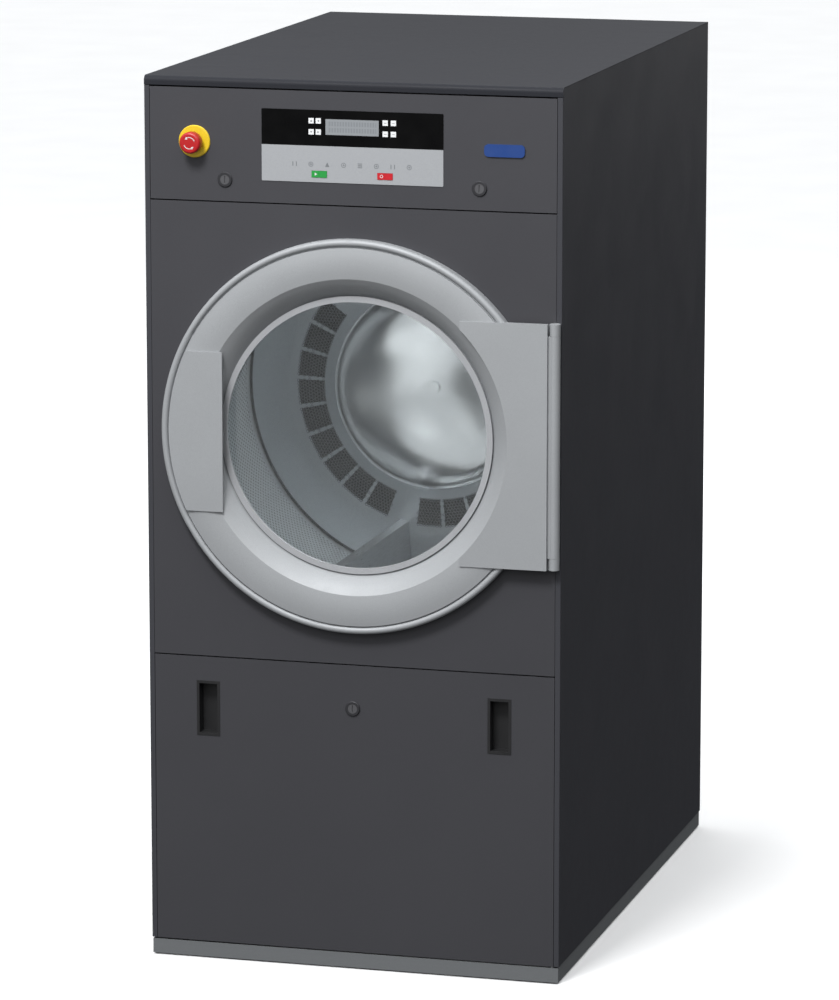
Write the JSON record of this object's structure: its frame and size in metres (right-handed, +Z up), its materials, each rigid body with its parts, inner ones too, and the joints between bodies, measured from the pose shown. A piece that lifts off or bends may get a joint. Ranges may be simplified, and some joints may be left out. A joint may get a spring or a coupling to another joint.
{
  "type": "commercial tumble dryer",
  "caption": "Upright commercial tumble dryer: sheet cabinet, round glass door, turning drum with lifters, tilting control fascia, lint drawer and rear exhaust spigot.",
  "frame": {"origin": "middle of the overall box at floor level", "axes": "+Z up, the front faces -Y, +X to the right of a person facing the machine"},
  "size_m": [0.795, 1.314, 1.675],
  "materials": {
    "front_paint": "satin dark grey powder coat",
    "side_paint": "satin dark grey powder coat",
    "base_paint": "satin grey powder coat",
    "zinc_steel": "zinc plated sheet",
    "drum_steel": "stainless sheet",
    "ring_silver": "satin silver paint",
    "bright_trim": "polished",
    "glass": "clear toughened pane",
    "black_rubber": "matte",
    "felt": "felt",
    "black_plastic": "fine grain",
    "keypad_film": "printed film",
    "display": "clear display pane",
    "badge_blue": "plain blue badge",
    "yellow_plastic": "gloss",
    "red_plastic": "gloss",
    "green_plastic": "gloss",
    "steel": "machined",
    "cast": "painted casting",
    "motor_paint": "painted casing"
  },
  "bodies": {
    "cabinet": {"base_rail_left": "base_paint", "base_rail_right": "base_paint", "plinth_strip": "base_paint", "levelling_feet": "steel", "side_panel_left": "side_paint", "side_panel_right": "side_paint", "top_panel": "side_paint", "front_panel": "front_paint", "rear_panel": "zinc_steel", "panel_screws": "steel", "throat_ring": "zinc_steel", "throat_felt": "felt", "rear_bulkhead": "zinc_steel", "bearing_housing": "cast", "bearings": "steel", "heater_box": "zinc_steel", "exhaust_collar": "zinc_steel", "fan_housing": "zinc_steel", "fan_motor": "motor_paint", "drive_motor": "motor_paint", "drum_belt": "black_rubber", "drawer_rails": "zinc_steel", "cable_gland": "black_plastic", "control_box": "zinc_steel", "door_keeper": "black_plastic", "hinge_pins": "ring_silver", "fascia_pins": "steel"},
    "drum": {"drum_shell": "drum_steel", "drum_back": "drum_steel", "lifter_a": "drum_steel", "lifter_b": "drum_steel", "lifter_c": "drum_steel", "drum_shaft": "steel", "hub_bolt": "steel", "drum_pulley": "cast"},
    "motor_rotor": {"motor_pulley": "steel"},
    "fan_rotor": {"fan_wheel": "zinc_steel"},
    "door": {"door_ring": "ring_silver", "hinge_plate": "ring_silver", "door_handle": "ring_silver", "door_bezel": "bright_trim", "door_glass": "glass", "door_gasket": "black_rubber"},
    "fascia": {"fascia_panel": "front_paint", "keypad_overlay": "keypad_film", "lcd_window": "display", "badge": "badge_blue", "estop_base": "yellow_plastic", "fascia_lock_barrels": "bright_trim"},
    "start_button": {"start_key": "green_plastic"},
    "stop_button": {"stop_key": "red_plastic"},
    "estop_slider": {"estop_stem": "black_plastic"},
    "estop_knob": {"estop_head": "red_plastic"},
    "fascia_lock_left": {"lock_left": "bright_trim"},
    "fascia_lock_right": {"lock_right": "bright_trim"},
    "lint_drawer": {"drawer_front": "front_paint", "drawer_grips": "black_plastic", "drawer_lock_barrel": "bright_trim", "lint_screen": "drum_steel"},
    "drawer_lock": {"lock_drawer": "bright_trim"}
  },
  "joints": [
    {"name": "door_hinge", "type": "hinge", "parent": "cabinet", "child": "door", "pos_m": [0.387, -0.634, 1.018], "axis": [0, 0, 1], "range_deg": [0, 170]},
    {"name": "drum_spin", "type": "hinge", "parent": "cabinet", "child": "drum", "pos_m": [0.005, -0.323, 1.018], "axis": [0, 1, 0], "continuous": true},
    {"name": "motor_spin", "type": "hinge", "parent": "cabinet", "child": "motor_rotor", "pos_m": [-0.15, 0.137, 0.64], "axis": [0, 1, 0], "continuous": true},
    {"name": "fan_spin", "type": "hinge", "parent": "cabinet", "child": "fan_rotor", "pos_m": [0.09, 0.297, 0.29], "axis": [0, 1, 0], "continuous": true},
    {"name": "fascia_hinge", "type": "hinge", "parent": "cabinet", "child": "fascia", "pos_m": [0, -0.617, 1.652], "axis": [-1, 0, 0], "range_deg": [0, 75]},
    {"name": "fascia_lock_left_turn", "type": "hinge", "parent": "fascia", "child": "fascia_lock_left", "pos_m": [-0.242, -0.623, 1.487], "axis": [0, 1, 0], "range_deg": [0, 90]},
    {"name": "fascia_lock_right_turn", "type": "hinge", "parent": "fascia", "child": "fascia_lock_right", "pos_m": [0.242, -0.623, 1.487], "axis": [0, -1, 0], "range_deg": [0, 90]},
    {"name": "start_press", "type": "slide", "parent": "fascia", "child": "start_button", "axis": [0, 1, 0], "range_m": [0, 0.0006], "stiffness_N_per_m": 900, "springref_m": -0.0003},
    {"name": "stop_press", "type": "slide", "parent": "fascia", "child": "stop_button", "axis": [0, 1, 0], "range_m": [0, 0.0006], "stiffness_N_per_m": 900, "springref_m": -0.0003},
    {"name": "estop_press", "type": "slide", "parent": "fascia", "child": "estop_slider", "axis": [0, 1, 0], "range_m": [0, 0.004]},
    {"name": "estop_twist", "type": "hinge", "parent": "estop_slider", "child": "estop_knob", "pos_m": [-0.3, -0.648, 1.556], "axis": [0, 1, 0], "range_deg": [0, 40], "stiffness_Nm_per_rad": 0.06},
    {"name": "lint_drawer_slide", "type": "slide", "parent": "cabinet", "child": "lint_drawer", "axis": [0, -1, 0], "range_m": [0, 0.42]},
    {"name": "drawer_lock_turn", "type": "hinge", "parent": "lint_drawer", "child": "drawer_lock", "pos_m": [0, -0.623, 0.503], "axis": [0, -1, 0], "range_deg": [0, 90]}
  ],
  "couplings": [
    {"joint": "motor_spin", "follows": "drum_spin", "ratio": 15}
  ]
}
